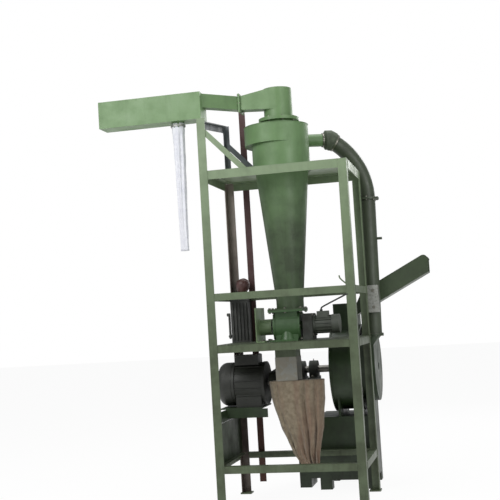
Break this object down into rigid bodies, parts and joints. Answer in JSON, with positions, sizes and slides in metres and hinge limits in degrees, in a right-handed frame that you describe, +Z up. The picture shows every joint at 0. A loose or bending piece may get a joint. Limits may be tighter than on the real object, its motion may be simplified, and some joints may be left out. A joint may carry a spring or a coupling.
{
  "type": "herb pulverizer",
  "caption": "Herb pulverizer: a beater mill with feed tray blows powder up a pipe into a cyclone on an angle-steel stand, with rotary airlock, product bag and filter bag.",
  "frame": {"origin": "on the floor at the middle of the stand's four feet", "axes": "+X to the right as seen from the product bag, +Y back towards the mill, +Z up"},
  "size_m": [2.2391, 1.3892, 3.002],
  "materials": {
    "green_paint": "satin",
    "light_green_paint": "satin",
    "dark_green_paint": "satin",
    "red_oxide_paint": "matte",
    "slate_paint": "satin",
    "motor_paint": "satin",
    "steel": "satin",
    "cast_grey": "matte",
    "galvanised": "satin",
    "rubber": "matte",
    "cloth": "matte",
    "white_cloth": "matte",
    "dark_plastic": "matte"
  },
  "bodies": {
    "stand": {"airlock_body": "green_paint", "airlock_cover_left": "dark_green_paint", "airlock_cover_right": "dark_green_paint", "airlock_pedestal": "light_green_paint", "airlock_shelf": "green_paint", "bottom_rails": "green_paint", "brace_front": "light_green_paint", "brace_rear": "slate_paint", "cyclone_cover": "green_paint", "cyclone_deck": "green_paint", "cyclone_shell": "green_paint", "discharge_spout": "galvanised", "drive_belts": "rubber", "drum_liner": "cast_grey", "exhaust_duct": "light_green_paint", "fan_case": "dark_green_paint", "feed_hopper": "dark_green_paint", "feed_tray": "dark_green_paint", "filter_bag": "white_cloth", "filter_bag_clamp": "galvanised", "foot_plates": "green_paint", "gear_head": "cast_grey", "gear_motor": "motor_paint", "header_box": "light_green_paint", "header_rail": "slate_paint", "leg_front_left": "green_paint", "leg_front_right": "green_paint", "leg_rear_left": "green_paint", "leg_rear_right": "green_paint", "middle_rails": "green_paint", "mill_base": "dark_green_paint", "mill_bearings": "dark_green_paint", "mill_drum": "dark_green_paint", "motor_cowl": "motor_paint", "motor_frame": "motor_paint", "motor_platform": "dark_green_paint", "outlet_head": "light_green_paint", "pipe_bend": "dark_green_paint", "product_bag": "cloth", "rear_post": "slate_paint", "rear_upright": "red_oxide_paint", "riser_clamp": "galvanised", "riser_pipe": "dark_green_paint", "rubber_sleeve": "rubber", "shelf_rails": "green_paint", "side_panel": "dark_green_paint", "starter_box": "dark_plastic", "top_rails": "green_paint"},
    "mill_rotor": {"mill_shaft": "steel", "beater_rotor": "steel", "fan_impeller": "dark_green_paint", "mill_pulley": "cast_grey"},
    "motor_rotor": {"motor_shaft": "steel", "motor_pulley": "cast_grey", "motor_fan": "dark_plastic"},
    "airlock_wheel": {"airlock_rotor": "steel"},
    "switch_lever": {"switch_handle": "steel"}
  },
  "joints": [
    {"name": "mill_spin", "type": "hinge", "parent": "stand", "child": "mill_rotor", "pos_m": [0, 0.66921, 0.9], "axis": [1, 0, 0], "continuous": true},
    {"name": "motor_spin", "type": "hinge", "parent": "stand", "child": "motor_rotor", "pos_m": [0, 0.145, 0.845], "axis": [1, 0, 0], "continuous": true},
    {"name": "airlock_spin", "type": "hinge", "parent": "stand", "child": "airlock_wheel", "pos_m": [0, 0, 1.255], "axis": [1, 0, 0], "continuous": true},
    {"name": "switch_swing", "type": "hinge", "parent": "stand", "child": "switch_lever", "pos_m": [0, 0.2907, 1.1993], "axis": [1, 0, 0], "range_deg": [0, 75]}
  ],
  "couplings": [
    {"joint": "motor_spin", "follows": "mill_spin", "ratio": 0.72973}
  ]
}
